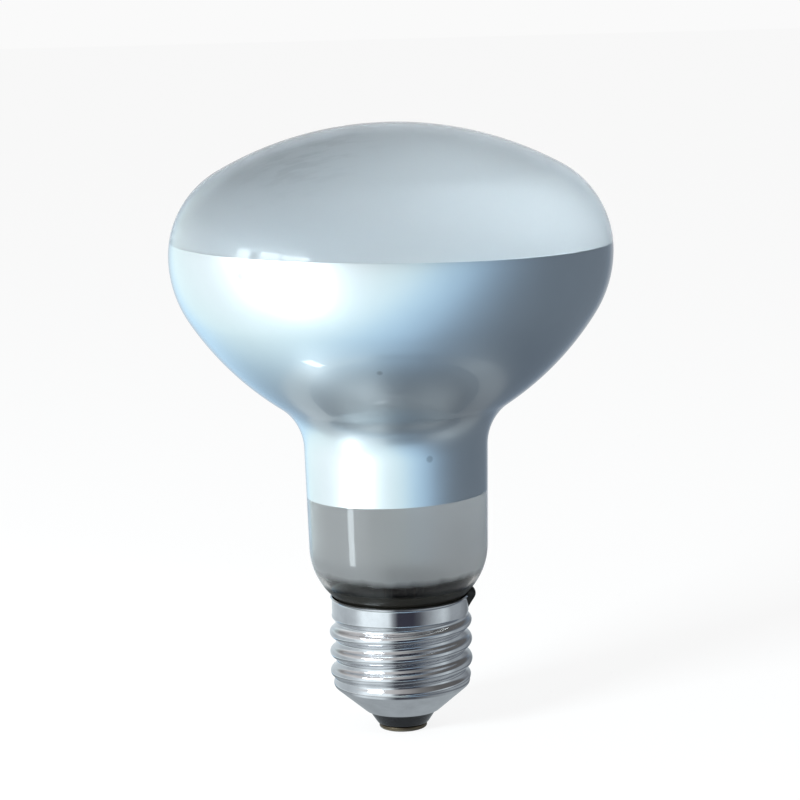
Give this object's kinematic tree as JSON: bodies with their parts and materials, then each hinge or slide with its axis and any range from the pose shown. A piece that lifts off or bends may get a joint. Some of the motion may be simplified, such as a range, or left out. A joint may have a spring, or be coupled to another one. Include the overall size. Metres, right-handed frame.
{
  "type": "heat lamp bulb",
  "caption": "Mushroom-shaped reflector bulb with a frosted crown, a mirrored bowl, a straight neck and an Edison screw cap.",
  "frame": {"origin": "lowest point of the centre contact, on the lamp's axis", "axes": "+Z along the lamp's axis from the cap to the crown, +X towards the side solder on the rim of the cap"},
  "size_m": [0.08, 0.08, 0.1115],
  "materials": {
    "bulb_glass": "clear outside, frosted inside",
    "mirror_film": "satin silver seen through frosted glass",
    "stem_glass": "clear",
    "filament_metal": "dark tungsten and molybdenum wire",
    "nickel_wire": "drawn nickel wire",
    "copper_wire": "drawn copper wire",
    "cap_metal": "bright nickel-plated brass sheet",
    "contact_brass": "dull brass",
    "solder": "dull tin solder",
    "black_glass": "glossy black",
    "cement": "matt dark capping cement"
  },
  "bodies": {
    "root": {"glass_envelope": "bulb_glass", "mirror_coating": "mirror_film", "stem_flare": "stem_glass", "exhaust_tube": "stem_glass", "button_rod": "stem_glass", "filament_coil": "filament_metal", "support_hook_1": "filament_metal", "support_hook_2": "filament_metal", "support_hook_3": "filament_metal", "inner_lead_centre": "nickel_wire", "inner_lead_side": "nickel_wire", "seal_wire_centre": "copper_wire", "seal_wire_side": "copper_wire", "outer_lead_centre": "copper_wire", "outer_lead_side": "copper_wire", "cap_shell": "cap_metal", "cap_cement": "cement", "contact_insulator": "black_glass", "contact_plate": "contact_brass", "contact_solder": "solder", "side_solder": "solder"}
  },
  "joints": []
}
